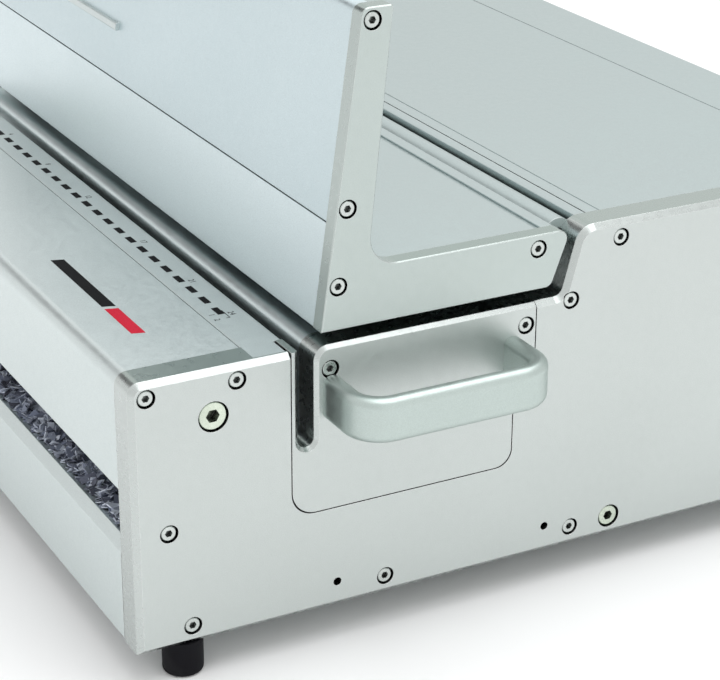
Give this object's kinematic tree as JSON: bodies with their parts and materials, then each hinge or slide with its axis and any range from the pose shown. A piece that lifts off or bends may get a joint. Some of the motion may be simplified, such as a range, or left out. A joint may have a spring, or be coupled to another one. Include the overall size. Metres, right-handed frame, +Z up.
{
  "type": "comb binding punch",
  "caption": "Electric comb binding punch in aluminium with a pull-out die cassette, a chip drawer under a front window and a hinged paper rest.",
  "frame": {"origin": "bottom centre of the whole machine's box, on the surface that its feet stand on", "axes": "+X to the operator's right, where the die cassette comes out; +Y from the front to the back; +Z up"},
  "size_m": [0.4794, 0.424, 0.292],
  "materials": {
    "plate_aluminium": "fine machined, clear anodised",
    "cover_aluminium": "bead blasted, clear anodised",
    "handle_aluminium": "satin anodised",
    "bar_aluminium": "milled",
    "ground_steel": "ground",
    "screw_steel": "nickel plated",
    "bolt_steel": "yellow zinc plated",
    "bearing_bronze": "machined",
    "foot_rubber": "matt",
    "black_plastic": "fine texture",
    "jack_nickel": "nickel",
    "button_green": "gloss",
    "motor_paint": "satin",
    "board_green": "solder mask",
    "tray_steel": "rolled",
    "chip_paper": "paper"
  },
  "bodies": {
    "chassis": {"right_side_plate": "plate_aluminium", "left_side_plate": "plate_aluminium", "side_plate_screws": "screw_steel", "tie_bolts": "bolt_steel", "base_plate": "bar_aluminium", "rubber_feet": "foot_rubber", "front_cover": "cover_aluminium", "ruler_strip": "cover_aluminium", "tie_bars": "bar_aluminium", "die_support_bar": "bar_aluminium", "slide_rails": "black_plastic", "hinge_rail": "cover_aluminium", "hinge_pins": "ground_steel", "top_cover": "cover_aluminium", "rear_cover": "cover_aluminium", "connector_panel": "bar_aluminium", "mains_inlet": "black_plastic", "fuse_holder": "black_plastic", "pedal_socket": "jack_nickel", "switch_frame": "black_plastic", "button_bezel": "black_plastic", "cross_member": "bar_aluminium", "guide_shafts": "ground_steel", "camshaft_bearings": "bearing_bronze", "gear_motor": "motor_paint", "motor_cradle": "bar_aluminium", "power_supply": "motor_paint", "control_board": "board_green"},
    "die_cassette": {"die_end_plate": "plate_aluminium", "die_handle": "handle_aluminium", "die_screws": "screw_steel", "female_die": "ground_steel", "die_bed": "ground_steel", "throat_bar": "ground_steel", "die_top_plate": "bar_aluminium"},
    "pin_set": {"pin_carrier": "ground_steel", "punch_pins": "ground_steel"},
    "ram_unit": {"ram": "ground_steel", "ram_bushes": "bearing_bronze", "roller_axles": "ground_steel"},
    "right_roller": {"right_cam_roller": "ground_steel"},
    "left_roller": {"left_cam_roller": "ground_steel"},
    "camshaft_unit": {"camshaft": "ground_steel", "cams": "ground_steel", "cam_gear": "ground_steel"},
    "pinion_unit": {"motor_pinion": "ground_steel"},
    "chip_drawer": {"drawer_front": "cover_aluminium", "drawer_tray": "tray_steel", "paper_chips": "chip_paper"},
    "paper_rest": {"right_cheek": "plate_aluminium", "left_cheek": "plate_aluminium", "cheek_screws": "screw_steel", "upper_panel": "cover_aluminium", "lower_panel": "cover_aluminium", "lid_deck": "cover_aluminium", "lid_hinge_bar": "cover_aluminium", "guide_rail": "cover_aluminium"},
    "side_guide": {"edge_guide": "black_plastic"},
    "start_button": {"punch_button": "button_green"},
    "power_switch": {"power_rocker": "black_plastic"}
  },
  "joints": [
    {"name": "cassette_slide", "type": "slide", "parent": "chassis", "child": "die_cassette", "axis": [1, 0, 0], "range_m": [0, 0.42]},
    {"name": "pin_slide", "type": "slide", "parent": "die_cassette", "child": "pin_set", "axis": [0, -1, 0], "range_m": [0, 0.01]},
    {"name": "ram_slide", "type": "slide", "parent": "chassis", "child": "ram_unit", "axis": [0, -1, 0], "range_m": [0, 0.01]},
    {"name": "right_roller_spin", "type": "hinge", "parent": "ram_unit", "child": "right_roller", "pos_m": [0.09225, 0.0107, 0.101], "axis": [1, 0, 0], "continuous": true},
    {"name": "left_roller_spin", "type": "hinge", "parent": "ram_unit", "child": "left_roller", "pos_m": [-0.12775, 0.0107, 0.101], "axis": [1, 0, 0], "continuous": true},
    {"name": "camshaft_turn", "type": "hinge", "parent": "chassis", "child": "camshaft_unit", "pos_m": [-0.01775, 0.036, 0.101], "axis": [1, 0, 0], "range_deg": [0, 180]},
    {"name": "pinion_turn", "type": "hinge", "parent": "chassis", "child": "pinion_unit", "pos_m": [-0.20075, 0.0885, 0.101], "axis": [1, 0, 0], "range_deg": [-540, 0]},
    {"name": "drawer_slide", "type": "slide", "parent": "chassis", "child": "chip_drawer", "axis": [0, -1, 0], "range_m": [0, 0.15]},
    {"name": "paper_rest_hinge", "type": "hinge", "parent": "chassis", "child": "paper_rest", "pos_m": [-0.01775, 0.0058, 0.17], "axis": [-1, 0, 0], "range_deg": [0, 70]},
    {"name": "edge_guide_slide", "type": "slide", "parent": "paper_rest", "child": "side_guide", "axis": [1, 0, 0], "range_m": [0, 0.13]},
    {"name": "punch_button_press", "type": "slide", "parent": "chassis", "child": "start_button", "axis": [0, 0, -1], "range_m": [0, 0.003], "stiffness_N_per_m": 500, "springref_m": -0.002},
    {"name": "power_rocker_tilt", "type": "hinge", "parent": "chassis", "child": "power_switch", "pos_m": [-0.08375, 0.193, 0.069], "axis": [-1, 0, 0], "range_deg": [0, 16]}
  ],
  "couplings": [
    {"joint": "ram_slide", "follows": "camshaft_turn", "m_per_rad": 0.0031831},
    {"joint": "pin_slide", "follows": "camshaft_turn", "m_per_rad": 0.0031831},
    {"joint": "pinion_turn", "follows": "camshaft_turn", "ratio": -3}
  ]
}
